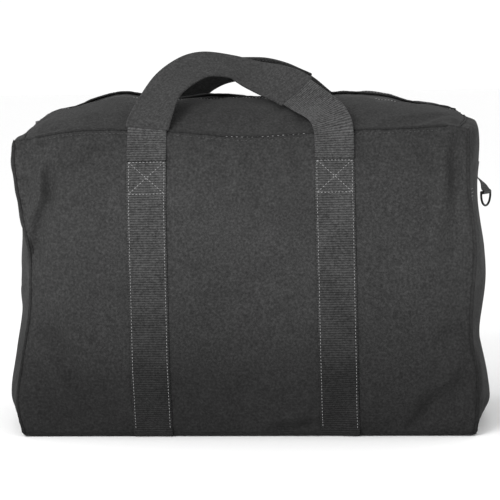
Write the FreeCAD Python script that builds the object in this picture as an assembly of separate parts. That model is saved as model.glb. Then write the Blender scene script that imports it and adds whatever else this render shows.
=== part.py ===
"""Canvas flight bag: a soft box with a full-length zip along its top, two carrying handles whose webbing runs
right round the body, and a D-ring on each end for a shoulder strap.

Frame: X along the bag, Y from front to back, Z up. The origin is on the ground under the middle of the bag.
All sizes are in millimetres.
"""

import FreeCAD
import Part
import math
import os

V = FreeCAD.Vector

# ---- body ----
body_length = 584.0  # end seam to end seam
body_depth = 300.0  # front panel to back panel at the seams
body_height = 394.0  # bottom seam to top seam
canvas = 1.6  # heavy cotton canvas, with its turned seams
face_bulge = 14.0  # how far the front and back stand out when the bag is full
end_bulge = 24.0  # how far the ends stand out

# ---- webbing ----
webbing_width = 50.8
webbing_thick = 2.4
webbing_spacing = 240.0  # between the middles of the two runs
run_top = 360.0  # where the sewn runs end and the handles begin
sewn_gap = 0.8  # between a sewn run's end and its handle, and between handle and canvas

# ---- zip ----
zip_radius = 1500.0  # the zip lies on an arc, so that the slider can follow it
zip_crown = 436.0  # top of that arc above the ground
zip_hem = 12.0  # canvas edge to the middle of the zip
hem_width = 6.0
tape_thick = 0.8
tape_edge = 16.0  # outer edge of the tape, under the hem
tooth_pitch = 5.0
tooth_length = 2.2
tooth_tip = 0.5  # tips of the two rows to the middle of the zip
tooth_root = 5.0
tooth_high = 4.4
fixed_zip = 31.5  # stretch of zip at each end that is sewn down and never opens
zip_gap = 0.5  # between what opens and what doesn't

# ---- slider and pull ----
slider_length = 28.0
slider_width = 15.0
slider_wall = 1.5
slider_clearance = 0.5
slider_post = 0.4
lug_length = 14.0
lug_width = 3.0
lug_wall = 2.5
lug_room = 2.5  # height of the window under the lug
pull_length = 38.0
pull_width = 9.0
pull_thick = 1.6

# ---- D-rings ----
ring_wire = 3.0
ring_span = 29.6  # bar length between the middles of the two legs
ring_leg = 4.0
right_ring_turn = 28.0  # degrees that the right tab twists towards the front as it hangs
left_ring_turn = 0.0  # the left one hangs flat against its end
ring_clear = 1.0  # wire to end panel
ring_height = 305.0  # ring's bar above the ground
tab_width = 25.4
tab_thick = 2.0
tab_top = 345.0
tab_bottom = 323.0
eye_clearance = 0.35

# ---- handles ----
handle_pivot = 362.0
handle_end = handle_pivot + sewn_gap
handle_clear = 48.0  # middle of the slumped handle's webbing to the middle of the zip
back_slump = 45.0  # how much further to the right the back handle's arch leans
sleeve_thick = 1.0
sleeve_width = 57.0
sleeve_from = 0.085  # share of the handle's length where the canvas sleeve begins and ends
sleeve_to = 0.60
handle_stations = 36

base = webbing_thick  # the canvas stands on the webbing runs
top = base + body_height
half_length = body_length / 2
half_depth = body_depth / 2
run_middle = webbing_spacing / 2
zip_centre = zip_crown - zip_radius
flap_half = half_length - canvas - zip_gap
live_half = flap_half - fixed_zip  # half of the zip's length that opens
slider_rest = flap_half - slider_length / 2 - 2.6
inner_y = half_depth - canvas
inner_x = half_length - canvas


def half_turn(shape):
    """The same piece on the other side of the bag, half a turn about Z."""
    turned = shape.copy()
    turned.rotate(V(0, 0, 0), V(0, 0, 1), 180)
    return turned


def block(low, high):
    size = V(*high) - V(*low)
    return Part.makeBox(size.x, size.y, size.z, V(*low))


def pillow(corners, lift, crest=V(0, 0, 0)):
    """A rectangular face that stands out by lift in its middle. Its corners go round it, and crest raises its last side."""
    a, b, c, d = corners
    poles = [
        [a, (a + b) / 2, b],
        [(a + d) / 2, (a + b + c + d) / 4 + lift * 4, (b + c) / 2],
        [d, (c + d) / 2 + crest * 2, c],
    ]
    surface = Part.BezierSurface()
    surface.increase(2, 2)
    for i, row in enumerate(poles):
        for j, pole in enumerate(row):
            surface.setPole(i + 1, j + 1, pole)
    return surface.toShape()


def front_face():
    """Outer face of the front panel."""
    corners = [
        V(-half_length, -half_depth, base),
        V(half_length, -half_depth, base),
        V(half_length, -half_depth, top),
        V(-half_length, -half_depth, top),
    ]
    return pillow(corners, V(0, -face_bulge, 0))


def end_face():
    """Outer face of the right end panel. Its top edge rises to the zip."""
    rise = zip_height(half_length) - top
    corners = [
        V(half_length, -inner_y, base),
        V(half_length, inner_y, base),
        V(half_length, inner_y, top),
        V(half_length, -inner_y, top),
    ]
    return pillow(corners, V(end_bulge, 0, 0), V(0, 0, rise))


def face_out(x, z):
    """How far the front panel's outer face stands in front of its seams."""
    u = x / half_length
    v = (z - base) / body_height * 2 - 1
    return face_bulge * (1 - u * u) * (1 - v * v)


def end_at(z):
    """x of the right end panel's outer face in its middle, at height z."""
    probe = Part.makeLine(V(0, 0, z), V(2 * half_length, 0, z))
    return probe.distToShape(end_face())[1][0][0].x


# ---- canvas body ----
def front_panel():
    return front_face().extrude(V(0, canvas, 0))


def end_panel():
    return end_face().extrude(V(-canvas, 0, 0))


def bottom_panel():
    return block((-inner_x, -inner_y, base), (inner_x, inner_y, base + canvas))


def seam_binding():
    """Bias tape folded over the seam allowance, round the inside of the front panel's bottom and end seams."""
    wide, thick, stop = 6.0, 2.5, top - 30
    floor = base + canvas
    bars = [block((-inner_x, -inner_y, floor), (inner_x, -inner_y + wide, floor + thick))]
    for x in (-inner_x, inner_x - thick):
        bars.append(block((x, -inner_y, floor), (x + thick, -inner_y + wide, stop)))
    return bars[0].fuse(bars[1:]).removeSplitter()


# ---- webbing runs ----
def webbing_run():
    """One length of webbing from the front, under the bag, and up the back, on the left."""
    left, right = -run_middle - webbing_width / 2, -run_middle + webbing_width / 2
    reach = half_depth + webbing_thick
    under = block((left, -reach, 0), (right, reach, base))
    window = block((left, -2 * half_depth, base), (right, 2 * half_depth, run_top))
    front = front_face().extrude(V(0, -webbing_thick, 0)).common(window)
    mirrored = front_face().mirror(V(0, 0, 0), V(0, 1, 0))
    back = mirrored.extrude(V(0, webbing_thick, 0)).common(window)
    return under.fuse([front, back]).removeSplitter()


# ---- zip ----
def zip_height(x):
    """Height of the middle of the zip's tape at x."""
    return zip_centre + math.sqrt(zip_radius**2 - x * x)


def zip_angle(x):
    return math.degrees(math.asin(x / zip_radius))


def along_zip(x0, x1, y0, y1, r0, r1):
    """A bar of rectangular section that follows the zip from x0 to x1, r0 to r1 from the middle of its tape."""
    corners = [
        V(0, y0, zip_crown + r0),
        V(0, y1, zip_crown + r0),
        V(0, y1, zip_crown + r1),
        V(0, y0, zip_crown + r1),
    ]
    section = Part.Face(Part.makePolygon(corners + corners[:1]))
    section.rotate(V(0, 0, zip_centre), V(0, 1, 0), zip_angle(x0))
    return section.revolve(V(0, 0, zip_centre), V(0, 1, 0), zip_angle(x1) - zip_angle(x0))


def on_zip(shape, x):
    """A piece modelled at the crown of the zip, moved along it to x."""
    moved = shape.copy()
    moved.rotate(V(0, 0, zip_centre), V(0, 1, 0), zip_angle(x))
    return moved


def tooth(side):
    y0, y1 = sorted((side * tooth_tip, side * tooth_root))
    low, high = zip_crown - tooth_high / 2, zip_crown + tooth_high / 2
    return block((-tooth_length / 2, y0, low), (tooth_length / 2, y1, high))


def teeth(side, first, last):
    """The teeth of one row between first and last. The two rows are half a pitch apart."""
    count = int((last - first - tooth_length) / tooth_pitch)
    start = first + tooth_length / 2 + (tooth_pitch / 2 if side > 0 else 0.0)
    return [on_zip(tooth(side), start + n * tooth_pitch) for n in range(count)]


def top_strip():
    """The front half of the top, with its hem on the zip's tape."""
    hem_low = tape_thick / 2 + 0.1
    stations = 11
    sections = []
    for n in range(stations):
        x = flap_half * (2 * n / (stations - 1) - 1)
        hem = zip_height(x) + hem_low
        front = V(x, -inner_y + 0.3, top)
        knee = V(x, -zip_hem - hem_width, hem)
        puff = 5.0 * (1 - (x / flap_half) ** 2)
        lower = [front]
        for share in (0.33, 0.67):
            lower.append(front + (knee - front) * share + V(0, 0, puff))
        lower += [knee, V(x, -zip_hem, hem)]
        upper = [p + V(0, 0, canvas) for p in reversed(lower)]
        sections.append(Part.makePolygon(lower + upper + lower[:1]))
    return Part.makeLoft(sections, True, False)


def zip_tape():
    return along_zip(-live_half, live_half, -tape_edge, -tooth_root, -tape_thick / 2, tape_thick / 2)


def zip_teeth(side):
    return Part.makeCompound(teeth(side, -live_half, live_half))


def zip_end():
    """The sewn-down end of both tapes on the right."""
    tapes = []
    for side in (-1, 1):
        y0, y1 = sorted((side * (zip_hem - zip_gap), side * tooth_root))
        tapes.append(along_zip(live_half + zip_gap, flap_half, y0, y1, -tape_thick / 2, tape_thick / 2))
    return Part.makeCompound(tapes)


def end_teeth():
    """The last teeth of both rows on the right, which never part."""
    first, last = live_half + zip_gap, flap_half - 3.0
    return Part.makeCompound(teeth(-1, first, last) + teeth(1, first, last))


def top_stops():
    """The two stops that the closed slider meets, one on each tape."""
    at = flap_half - 0.8
    over = tooth_high / 2
    return Part.makeCompound(
        [
            along_zip(at - 1.0, at + 0.8, *sorted((side * tooth_tip, side * tooth_root)), -over, over)
            for side in (-1, 1)
        ]
    )


def bottom_stop():
    """The staple across both tapes at the left end, where the slider's travel ends."""
    at, over = -live_half - zip_gap, tooth_high / 2 + 0.8
    bar = along_zip(at - 3.0, at - 0.6, -tooth_root, tooth_root, tooth_high / 2, over)
    return bar


# ---- slider ----
def slider_body():
    """Two plates with edge flanges round the teeth, joined by a thin post, and a lug for the pull."""
    inner = tooth_high / 2 + slider_clearance
    outer = inner + slider_wall
    slot = tape_thick / 2 + slider_clearance
    x, y = slider_length / 2, slider_width / 2
    solids = []
    for low, high, edge_low, edge_high in ((inner, outer, slot, inner), (-outer, -inner, -inner, -slot)):
        plate = block((-x, -y, zip_crown + low), (x, y, zip_crown + high))
        corners = [e for e in plate.Edges if abs(e.tangentAt(e.FirstParameter).z) > 0.9]
        solids.append(plate.makeFillet(3.0, corners))
        for side in (-1, 1):
            y0, y1 = sorted((side * (y - slider_wall), side * y))
            solids.append(block((-x + 3, y0, zip_crown + edge_low), (x - 3, y1, zip_crown + edge_high)))
    post = block(
        (x - 7, -slider_post / 2, zip_crown - inner - 0.1), (x - 3, slider_post / 2, zip_crown + inner + 0.1)
    )
    lug_base = zip_crown + outer
    lug = block(
        (-lug_length / 2, -lug_width / 2, lug_base - 0.1),
        (lug_length / 2, lug_width / 2, lug_base + lug_room + 1.8),
    )
    rounded = [e for e in lug.Edges if abs(e.tangentAt(e.FirstParameter).y) > 0.9 and e.CenterOfMass.z > lug_base]
    lug = lug.makeFillet(1.6, rounded)
    window = block(
        (-lug_length / 2 + lug_wall, -lug_width, lug_base), (lug_length / 2 - lug_wall, lug_width, lug_base + lug_room)
    )
    body = solids[0].fuse(solids[1:] + [post, lug.cut(window)]).removeSplitter()
    return on_zip(body, slider_rest)


def pull_axis():
    """Where the pull's bar lies in the lug: x from the slider's middle, and height over the middle of the tape."""
    over = tooth_high / 2 + slider_clearance + slider_wall + lug_room / 2
    return lug_length / 2 - lug_wall - pull_thick / 2 - 0.6, over


def pull_tab():
    """A flat pull with a window that leaves a round bar under the lug. It lies back along the zip."""
    at, over = pull_axis()
    z = zip_crown + over
    half_y, half_t = pull_width / 2, pull_thick / 2
    plate = block((at - pull_length, -half_y, z - half_t), (at, half_y, z + half_t))
    corners = [e for e in plate.Edges if abs(e.tangentAt(e.FirstParameter).z) > 0.9 and e.CenterOfMass.x < at - 1]
    plate = plate.makeFillet(3.0, corners)
    window_half = lug_width / 2 + 0.6
    window = block((at - 15.0, -window_half, z - 2), (at - half_t, window_half, z + 2))
    hole = Part.makeCylinder(2.0, 4, V(at - pull_length + 6, 0, z - 2))
    bar = Part.makeCylinder(half_t, pull_width, V(at, -half_y, z), V(0, 1, 0))
    room = block((at, -half_y, z - 2), (at + 1, half_y, z + 2))
    body = plate.cut(room).cut(window).cut(hole).fuse(bar).removeSplitter()
    return on_zip(body, slider_rest)


# ---- D-ring and its tab ----
def ring_frame(twist):
    """(middle of the ring's bar, way along the bar, way out of the ring's face)"""
    turn = math.radians(twist)
    lowest = ring_height - ring_leg - ring_span / 2
    near_leg = ring_span / 2 * math.sin(turn) + ring_wire / 2
    x = end_at(lowest) + ring_clear + near_leg
    return V(x, 0, ring_height), V(math.sin(turn), math.cos(turn), 0), V(math.cos(turn), -math.sin(turn), 0)


def ring_tab(twist):
    """Webbing sewn on the end panel, whose lower end stands off and folds round the ring's bar."""
    at, along, out = ring_frame(twist)
    window = block((0, -tab_width / 2, tab_bottom), (2 * half_length, tab_width / 2, tab_top))
    patch = end_face().extrude(V(tab_thick, 0, 0)).common(window)
    eye_inner = ring_wire / 2 + eye_clearance
    eye_wall = tab_thick * 0.8
    start_height = tab_bottom + 3
    start = V(end_at(start_height) + tab_thick / 2, 0, start_height)
    finish = at + V(0, 0, eye_inner + eye_wall / 2) - out * 0.6
    sections = []
    for n in range(6):
        share = n / 5
        ease = share * share * (3 - 2 * share)
        turn = math.radians(twist) * ease
        across = V(math.sin(turn), math.cos(turn), 0) * (tab_width / 2 - 0.01)
        through = V(math.cos(turn), -math.sin(turn), 0) * (tab_thick / 2 - 0.01)
        middle = start + (finish - start) * share
        corners = [middle + across + through, middle - across + through, middle - across - through]
        corners.append(middle + across - through)
        sections.append(Part.makePolygon(corners + corners[:1]))
    arm = Part.makeLoft(sections, True, True)
    half = along * (tab_width / 2)
    eye = Part.makeCylinder(eye_inner + eye_wall, tab_width, at - half, along)
    bore = Part.makeCylinder(eye_inner, tab_width + 2, at - half - along, along)
    return patch.fuse([arm, eye]).cut([bore, end_panel()]).removeSplitter()


def d_ring(twist):
    """Round wire bent to a D, hanging from its straight bar."""
    half, wire = ring_span / 2, ring_wire / 2
    ends = [V(-half, 0, 0), V(half, 0, 0)]
    bar = Part.makeCylinder(wire, ring_span, ends[0], V(1, 0, 0))
    legs = [Part.makeCylinder(wire, ring_leg, end, V(0, 0, -1)) for end in ends]
    corners = [Part.makeSphere(wire, end) for end in ends]
    bow = Part.makeTorus(half, wire, V(0, 0, -ring_leg), V(0, 1, 0))
    lower = block((-ring_span, -ring_span, -2 * ring_span), (ring_span, ring_span, -ring_leg))
    ring = bar.fuse(legs + corners + [bow.common(lower)]).removeSplitter()
    ring.rotate(V(0, 0, 0), V(0, 0, 1), 90 - twist)
    ring.translate(ring_frame(twist)[0])
    return ring


# ---- handles ----
def handle_line(slump):
    """(point, way to its outer edge) along the middle of a front handle's webbing, from its left foot to its right.

    slump leans the arch further to the right, where it then sinks.
    """
    pivot_y = -half_depth - face_out(run_middle - webbing_width / 2, handle_pivot) - sewn_gap - webbing_thick / 2
    edge = -half_depth - webbing_thick / 2 - sewn_gap
    reach = -edge - handle_clear
    level_y = (pivot_y + edge) / 2 - 0.6

    def at(along, inwards, lift, outer):
        lean = slump * inwards * (1 - along * along)
        deck = top + (zip_crown - top) * inwards - slump * 0.45 * inwards * along * along
        return V(webbing_spacing * (along - 0.5) + lean, edge + reach * inwards, deck + lift), V(*outer)

    return [
        (V(-run_middle, pivot_y, handle_end), V(-1, 0, 0)),
        (V(-run_middle, level_y, top - 16), V(-1, 0, 0)),
        at(0.004, -0.012, 7, (-1, 0, 0.01)),
        at(0.022, 0.095, 19, (-0.99, 0.15, 0.07)),
        at(0.06, 0.308, 34, (-0.85, 0.49, 0.17)),
        at(0.133, 0.6, 44.5, (-0.69, 0.6, 0.41)),
        at(0.229, 0.83, 50, (-0.42, 0.72, 0.55)),
        at(0.306, 0.925, 49.5, (-0.22, 0.79, 0.57)),
        at(0.436, 1.0, 42, (0.12, 0.86, 0.5)),
        at(0.537, 0.98, 33.5, (0.3, 0.76, 0.58)),
        at(0.648, 0.865, 29.5, (0.46, 0.55, 0.7)),
        at(0.745, 0.68, 28, (0.65, 0.32, 0.69)),
        at(0.855, 0.41, 22.5, (0.8, 0.27, 0.53)),
        at(0.955, 0.12, 18, (0.95, 0.15, 0.27)),
        at(0.992, -0.02, 7, (1, 0, 0.02)),
        (V(run_middle, level_y, top - 16), V(1, 0, 0)),
        (V(run_middle, pivot_y, handle_end), V(1, 0, 0)),
    ]


def outer_at(line, knots, at):
    """The way to the webbing's outer edge at one parameter of its line."""
    n = min(sum(knot <= at for knot in knots), len(knots) - 1)
    share = (at - knots[n - 1]) / (knots[n] - knots[n - 1])
    return line[n - 1][1] * (1 - share) + line[n][1] * share


def handle_frames(slump):
    """Evenly spaced (share of the length, middle, across, outward) along a front handle."""
    line = handle_line(slump)
    curve = Part.BSplineCurve()
    curve.interpolate([p for p, _ in line], InitialTangent=V(0, 0, 1), FinalTangent=V(0, 0, -1))
    knots = curve.getKnots()
    length = curve.length()
    frames = []
    for n in range(handle_stations):
        share = n / (handle_stations - 1)
        at = curve.parameterAtDistance(share * length, curve.FirstParameter)
        tangent = V(*curve.tangent(at)[0])
        outward = tangent.cross(outer_at(line, knots, at)).normalize()
        frames.append((share, curve.value(at), tangent.cross(outward), outward))
    return frames


def ribbon(frames, width, inner, outer):
    """A flat strip along the frames, from inner to outer of the webbing's middle."""
    sections = []
    for _, middle, across, outward in frames:
        side = across * (width / 2)
        corners = [
            middle - side + outward * inner,
            middle + side + outward * inner,
            middle + side + outward * outer,
            middle - side + outward * outer,
        ]
        sections.append(Part.makePolygon(corners + corners[:1]))
    return Part.makeLoft(sections, True, True)


def handle_webbing(slump):
    return ribbon(handle_frames(slump), webbing_width, -webbing_thick / 2, webbing_thick / 2)


def handle_sleeve(slump):
    """The canvas grip folded over the webbing: a layer on each face."""
    covered = [f for f in handle_frames(slump) if sleeve_from <= f[0] <= sleeve_to]
    face = webbing_thick / 2
    layers = [(face, face + sleeve_thick), (-face - sleeve_thick, -face)]
    return Part.makeCompound([ribbon(covered, sleeve_width, low, high) for low, high in layers])


def on_back(shape):
    return shape.mirror(V(0, 0, 0), V(0, 1, 0))


def pair(front, back, shape):
    """Two nodes, of which the second is the first turned half a turn about Z."""
    return {front: shape, back: half_turn(shape)}


def build():
    nodes = {
        "bottom_panel": bottom_panel(),
        "zip_slider": slider_body(),
        "zip_pull": pull_tab(),
        "zip_top_stops": top_stops(),
        "zip_bottom_stop": bottom_stop(),
        "zip_teeth_front": zip_teeth(-1),
        "zip_teeth_back": zip_teeth(1),
    }
    nodes.update(pair("front_panel", "back_panel", front_panel()))
    nodes.update(pair("right_end_panel", "left_end_panel", end_panel()))
    nodes.update(pair("front_seam_binding", "back_seam_binding", seam_binding()))
    nodes.update(pair("left_webbing_run", "right_webbing_run", webbing_run()))
    nodes.update(pair("front_top_strip", "back_top_strip", top_strip()))
    nodes.update(pair("front_zip_tape", "back_zip_tape", zip_tape()))
    nodes.update(pair("right_zip_end", "left_zip_end", zip_end()))
    nodes.update(pair("right_end_teeth", "left_end_teeth", end_teeth()))
    nodes["right_ring_tab"] = ring_tab(right_ring_turn)
    nodes["right_d_ring"] = d_ring(right_ring_turn)
    nodes["left_ring_tab"] = half_turn(ring_tab(left_ring_turn))
    nodes["left_d_ring"] = half_turn(d_ring(left_ring_turn))
    nodes["front_handle_webbing"] = handle_webbing(0.0)
    nodes["front_handle_sleeve"] = handle_sleeve(0.0)
    nodes["back_handle_webbing"] = on_back(handle_webbing(back_slump))
    nodes["back_handle_sleeve"] = on_back(handle_sleeve(back_slump))
    os.makedirs("parts", exist_ok=True)
    for name, shape in nodes.items():
        if not shape.isValid():
            print("not valid:", name)
        shape.exportStep(f"parts/{name}.step")
    print("nodes:", len(nodes))


build()
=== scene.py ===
"""Canvas flight bag: a full, standing kit bag with two slumped webbing handles, in its finished materials."""

import math

import bmesh
import bpy
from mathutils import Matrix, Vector
from mathutils.bvhtree import BVHTree
from mathutils.noise import noise


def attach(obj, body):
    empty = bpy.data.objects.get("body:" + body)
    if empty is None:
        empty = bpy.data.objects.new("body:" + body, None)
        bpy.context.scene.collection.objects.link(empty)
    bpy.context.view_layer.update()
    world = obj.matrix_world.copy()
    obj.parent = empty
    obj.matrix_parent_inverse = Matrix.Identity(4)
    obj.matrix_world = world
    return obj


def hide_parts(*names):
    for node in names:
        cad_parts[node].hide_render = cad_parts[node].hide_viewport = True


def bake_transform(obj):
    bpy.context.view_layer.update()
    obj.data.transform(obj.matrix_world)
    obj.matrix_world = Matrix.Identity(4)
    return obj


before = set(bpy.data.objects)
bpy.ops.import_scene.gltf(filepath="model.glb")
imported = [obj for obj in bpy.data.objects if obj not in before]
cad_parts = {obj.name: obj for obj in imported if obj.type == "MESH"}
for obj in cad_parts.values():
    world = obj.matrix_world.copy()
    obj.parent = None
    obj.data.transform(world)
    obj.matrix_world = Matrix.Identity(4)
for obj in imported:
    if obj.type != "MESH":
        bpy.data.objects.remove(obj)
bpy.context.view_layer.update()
scene = bpy.context.scene

# ---- sizes in metres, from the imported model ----
HALF_LENGTH = 0.292
HALF_DEPTH = 0.150
BASE = 0.0024  # the canvas stands on the webbing runs
TOP = 0.3964
ZIP_CROWN = 0.436
ZIP_RADIUS = 1.5
HEM = 0.0125  # folded edge of the canvas, from the middle of the zip
CANVAS = 0.0014
WEBBING = 0.0508
STRAP = 0.0022  # thickness of the webbing
GRIP = 0.0040  # thickness of the sleeve and the webbing inside it
RUN_MIDDLE = 0.120
RUN_TOP = 0.360  # where a sewn run ends and its handle begins
BOX_BOTTOM = 0.3185  # lower edge of the boxed cross at a run's top


def path_value(points, t):
    """Smooth line through (place, value) points, level past its ends."""
    if t <= points[0][0]:
        return points[0][1]
    for n in range(len(points) - 1):
        (a, va), (b, vb) = points[n], points[n + 1]
        if t <= b:
            s = (t - a) / (b - a)
            before = points[max(n - 1, 0)]
            after = points[min(n + 2, len(points) - 1)]
            ma = (vb - before[1]) / (b - before[0]) * (b - a)
            mb = (after[1] - va) / (after[0] - a) * (b - a)
            s2, s3 = s * s, s * s * s
            start = (2 * s3 - 3 * s2 + 1) * va + (s3 - 2 * s2 + s) * ma
            return start + (3 * s2 - 2 * s3) * vb + (s3 - s2) * mb
    return points[-1][1]


# ---- where the full bag's seams have sagged to: (height, x), and (x, height) along the top ----
LEFT_SEAM = [
    (0.0, -0.289), (0.03, -0.297), (0.06, -0.297), (0.11, -0.288), (0.176, -0.277),
    (0.25, -0.277), (0.295, -0.285), (0.33, -0.291), (0.37, -0.295), (0.396, -0.293),
]
RIGHT_SEAM = [
    (0.0, 0.297), (0.03, 0.301), (0.08, 0.300), (0.13, 0.292), (0.18, 0.294),
    (0.23, 0.298), (0.27, 0.296), (0.32, 0.290), (0.396, 0.290),
]
FRONT_TOP = [
    (-0.296, 0.389), (-0.268, 0.392), (-0.222, 0.399), (-0.186, 0.401), (-0.093, 0.398), (-0.016, 0.391),
    (0.023, 0.390), (0.074, 0.393), (0.144, 0.397), (0.201, 0.398), (0.264, 0.400), (0.290, 0.397),
]
# how far each hem stands above the zip
FRONT_LIFT = [
    (-0.29, -0.004), (-0.256, 0.004), (-0.225, 0.006), (-0.20, 0.009), (-0.165, 0.0105), (-0.13, 0.004),
    (-0.095, 0.001), (-0.05, -0.0005), (0.04, -0.001), (0.09, 0.001), (0.13, 0.003), (0.175, 0.003),
    (0.21, 0.002), (0.26, 0.003), (0.29, -0.001),
]
BACK_LIFT = [
    (-0.29, -0.004), (-0.256, 0.006), (-0.227, 0.008), (-0.204, 0.0145), (-0.165, 0.018), (-0.13, 0.009),
    (-0.095, 0.003), (-0.05, 0.005), (0.0, 0.0), (0.04, -0.001), (0.075, 0.003), (0.105, 0.0075),
    (0.13, 0.010), (0.176, 0.010), (0.21, 0.005), (0.263, 0.0045), (0.29, 0.0),
]
# how far the middle of each end stands out beyond its seams, by height
LEFT_BULGE = [
    (0.0, 0.011), (0.025, 0.022), (0.055, 0.025), (0.09, 0.024), (0.13, 0.023), (0.16, 0.025), (0.19, 0.030),
    (0.23, 0.028), (0.265, 0.020), (0.30, 0.0115), (0.34, 0.009), (0.37, 0.012), (0.396, 0.011),
]
RIGHT_BULGE = [
    (0.0, 0.008), (0.025, 0.019), (0.055, 0.0165), (0.09, 0.012), (0.12, 0.0125), (0.16, 0.018),
    (0.19, 0.021), (0.23, 0.015), (0.28, 0.009), (0.32, 0.013), (0.36, 0.019), (0.396, 0.017),
]


def zip_height(x):
    return ZIP_CROWN - ZIP_RADIUS + math.sqrt(ZIP_RADIUS**2 - x * x)


def seam_x(side, z):
    return path_value(RIGHT_SEAM if side > 0 else LEFT_SEAM, z)


def top_z(x, y):
    """Height of the top seam, which is higher on the right and dips between the handles."""
    front = path_value(FRONT_TOP, x)
    share = 0.5 - y / (2 * HALF_DEPTH)
    return front * share + (0.5 * front + 0.5 * TOP) * (1 - share)


def hem_z(x, side):
    return zip_height(x) + 0.0012 + path_value(BACK_LIFT if side > 0 else FRONT_LIFT, x)


def roof_z(x, y):
    """Height of the top at (x, y) as cut, from a seam up to the hem beside the zip."""
    across = min(1.0, (HALF_DEPTH - abs(y)) / (HALF_DEPTH - HEM))
    low = top_z(x, -HALF_DEPTH if y < 0 else HALF_DEPTH)
    high = (hem_z(x, -1) + hem_z(x, 1)) / 2 if abs(y) < HEM else hem_z(x, y)
    return low + (high - low) * across


def end_top(side, y):
    """Height of an end panel's top edge, which the top rolls down to."""
    across = min(1.0, (HALF_DEPTH - abs(y)) / (HALF_DEPTH - HEM))
    low = top_z(seam_x(side, TOP), -HALF_DEPTH if y < 0 else HALF_DEPTH)
    return low + ((0.404 if side > 0 else 0.396) - low) * across


def end_x(side, y, z):
    crown = 1 - (y / HALF_DEPTH) ** 2
    return seam_x(side, z) + side * path_value(RIGHT_BULGE if side > 0 else LEFT_BULGE, z) * crown


# ---- the shell: one closed sheet of canvas, cut from six panels ----
COLUMNS, ROWS, SLOPE = 90, 60, 21
FRONT, BACK, LEFT, RIGHT, BOTTOM, TOP_FRONT, TOP_BACK, ZIP_BAND = range(8)


def depth_at(n):
    """y of one of the lines that run along the bag: the zip band is two of them wide."""
    if n <= SLOPE:
        return -HALF_DEPTH + (HALF_DEPTH - HEM) * n / SLOPE
    if n >= SLOPE + 2:
        return HEM + (HALF_DEPTH - HEM) * (n - SLOPE - 2) / SLOPE
    return 0.0


def panel(bm, across, up, ident, place):
    """A grid of canvas whose corners go where place(column, row) says."""
    made = bmesh.ops.create_grid(bm, x_segments=across, y_segments=up, size=0.5)["verts"]
    for v in made:
        v.co = place(round((v.co.x + 0.5) * across), round((v.co.y + 0.5) * up))
    for f in {f for v in made for f in v.link_faces}:
        f.material_index = ident(f) if callable(ident) else ident


def side_point(y):
    """Places the front or back panel, which swells out and slumps a little towards its foot."""

    def place(column, row):
        s, t = column / COLUMNS, row / ROWS
        z = BASE + (TOP - BASE) * t
        x = seam_x(-1, z) * (1 - s) + seam_x(1, z) * s
        high = top_z(seam_x(-1, TOP) * (1 - s) + seam_x(1, TOP) * s, y)
        z = BASE + (high - BASE) * t
        u, v = 2 * s - 1, 2 * t - 1
        out = 0.010 * (1 - u**4) * (1 - v**4) + 0.005 * (1 - t) ** 2 * t * 4 * (1 - u * u)
        return Vector((x, y + math.copysign(out, y), z))

    return place


def end_point(side):
    def place(column, row):
        y = depth_at(column)
        t = row / ROWS
        nominal = BASE + (TOP - BASE) * t
        z = BASE + (end_top(side, y) - BASE) * t
        return Vector((end_x(side, y, nominal), y, z))

    return place


def roof_point(column, row):
    y = depth_at(row)
    s = column / COLUMNS
    x = end_x(-1, y, TOP) * (1 - s) + end_x(1, y, TOP) * s
    across = (HALF_DEPTH - abs(y)) / (HALF_DEPTH - HEM)
    u = 2 * s - 1
    edge = seam_x(-1, TOP) * (1 - s) + seam_x(1, TOP) * s
    puff = 0.010 * math.sin(math.pi * min(1.0, across)) * (1 - u * u)
    # the ends roll down to the end panels' top edges
    drop = max(0.0, (abs(u) - 0.90) / 0.10)
    drop = drop * drop * (3 - 2 * drop)
    return Vector((x, y, (roof_z(edge, y) + puff) * (1 - drop) + end_top(math.copysign(1, u), y) * drop))


def floor_point(column, row):
    y = depth_at(row)
    s = column / COLUMNS
    x = end_x(-1, y, BASE) * (1 - s) + end_x(1, y, BASE) * s
    return Vector((x, y, BASE))


def roof_ident(f):
    """Which panel a piece of the top belongs to. Its last strip at each end stays with the end panel."""
    x, y, _ = f.calc_center_median()
    if abs(x) > 0.9556 * HALF_LENGTH * (1 + 0.04 * (1 - (y / HALF_DEPTH) ** 2)):
        return RIGHT if x > 0 else LEFT
    if abs(y) < HEM:
        return ZIP_BAND
    return TOP_FRONT if y < 0 else TOP_BACK


def cut_shell():
    bm = bmesh.new()
    depth = 2 * SLOPE + 2
    panel(bm, COLUMNS, ROWS, FRONT, side_point(-HALF_DEPTH))
    panel(bm, COLUMNS, ROWS, BACK, side_point(HALF_DEPTH))
    panel(bm, depth, ROWS, LEFT, end_point(-1))
    panel(bm, depth, ROWS, RIGHT, end_point(1))
    panel(bm, COLUMNS, depth, BOTTOM, floor_point)
    panel(bm, COLUMNS, depth, roof_ident, roof_point)
    bmesh.ops.remove_doubles(bm, verts=bm.verts, dist=0.0004)
    bmesh.ops.recalc_face_normals(bm, faces=bm.faces)
    mesh = bpy.data.meshes.new("shell")
    bm.to_mesh(mesh)
    bm.free()
    shell = bpy.data.objects.new("shell", mesh)
    scene.collection.objects.link(shell)
    return shell


def panels_at(mesh):
    """The panels that meet at each point of the shell."""
    owners = [set() for _ in mesh.vertices]
    for f in mesh.polygons:
        for v in f.vertices:
            owners[v].add(f.material_index)
    return owners


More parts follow.
